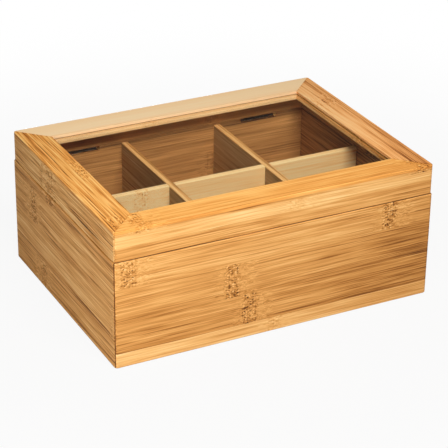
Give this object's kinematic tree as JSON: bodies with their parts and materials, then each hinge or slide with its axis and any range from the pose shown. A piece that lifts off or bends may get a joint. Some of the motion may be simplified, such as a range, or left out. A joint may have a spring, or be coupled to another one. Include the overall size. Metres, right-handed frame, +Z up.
{
  "type": "tea bag organizer box",
  "caption": "Rectangular bamboo box with a hinged, windowed lid and crossed dividers that part the inside into compartments for tea bags.",
  "frame": {"origin": "middle of the box's underside, on the surface it stands on", "axes": "+X to the right along the box's width, +Y to the back where the hinges are, +Z up"},
  "size_m": [0.217, 0.1642, 0.09],
  "materials": {
    "wall_bamboo": "satin clear lacquer on laminated bamboo",
    "rail_bamboo": "satin clear lacquer on laminated bamboo",
    "divider_bamboo": "smooth sanded laminated bamboo",
    "panel_bamboo": "smooth sanded thin bamboo panel",
    "clear_pane": "clear polished sheet",
    "hinge_steel": "plain pressed steel, slightly dull",
    "screw_steel": "plain steel countersunk screws"
  },
  "bodies": {
    "base": {"base_front_wall": "wall_bamboo", "base_back_wall": "wall_bamboo", "base_left_wall": "wall_bamboo", "base_right_wall": "wall_bamboo", "bottom_panel": "panel_bamboo", "long_divider_left": "divider_bamboo", "long_divider_right": "divider_bamboo", "cross_divider": "divider_bamboo", "hinge_base_leaf_left": "hinge_steel", "hinge_base_leaf_right": "hinge_steel", "hinge_pin_left": "hinge_steel", "hinge_pin_right": "hinge_steel", "base_hinge_screws": "screw_steel"},
    "lid": {"lid_front_rail": "rail_bamboo", "lid_back_rail": "rail_bamboo", "lid_left_rail": "rail_bamboo", "lid_right_rail": "rail_bamboo", "window_pane": "clear_pane", "hinge_lid_leaf_left": "hinge_steel", "hinge_lid_leaf_right": "hinge_steel", "lid_hinge_screws": "screw_steel"}
  },
  "joints": [
    {"name": "lid_hinge", "type": "hinge", "parent": "base", "child": "lid", "pos_m": [0, 0.08225, 0.0686], "axis": [-1, 0, 0], "range_deg": [0, 100]}
  ]
}
